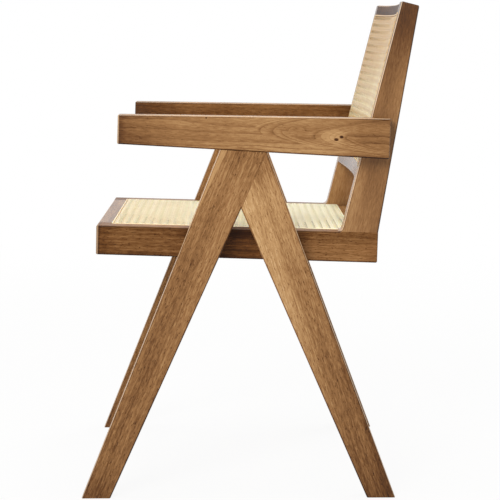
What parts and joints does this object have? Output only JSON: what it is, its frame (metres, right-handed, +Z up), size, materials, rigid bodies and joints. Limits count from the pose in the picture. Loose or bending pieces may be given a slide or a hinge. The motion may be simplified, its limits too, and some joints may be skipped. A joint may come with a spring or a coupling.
{
  "type": "cane seated armchair",
  "caption": "Wooden armchair with V shaped side frames, flat arms, a woven cane seat and a bowed, woven cane back.",
  "frame": {"origin": "on the floor, under the middle of the chair's own box", "axes": "-Y is the way the sitter faces, +X is the sitter's left, +Z is up"},
  "size_m": [0.515, 0.5428, 0.8],
  "materials": {
    "teak": "satin oil",
    "teak_plug": "satin oil",
    "beech": "plain",
    "cane": "natural glaze",
    "cane_spline": "natural",
    "screw_steel": "zinc plated"
  },
  "bodies": {
    "root": {"arm_screw_plugs": "teak_plug", "arm_screws": "screw_steel", "back_cane": "cane", "back_cane_spline": "cane_spline", "back_lower_rail": "teak", "back_top_rail": "teak", "left_armrest": "teak", "left_back_stile": "teak", "left_front_leg": "teak", "left_rear_leg": "teak", "left_seat_side_rail": "teak", "leg_joint_dowels": "beech", "leg_screws": "screw_steel", "right_armrest": "teak", "right_back_stile": "teak", "right_front_leg": "teak", "right_rear_leg": "teak", "right_seat_side_rail": "teak", "seat_cane": "cane", "seat_cane_spline": "cane_spline", "seat_front_rail": "teak", "seat_rear_rail": "teak"}
  },
  "joints": []
}
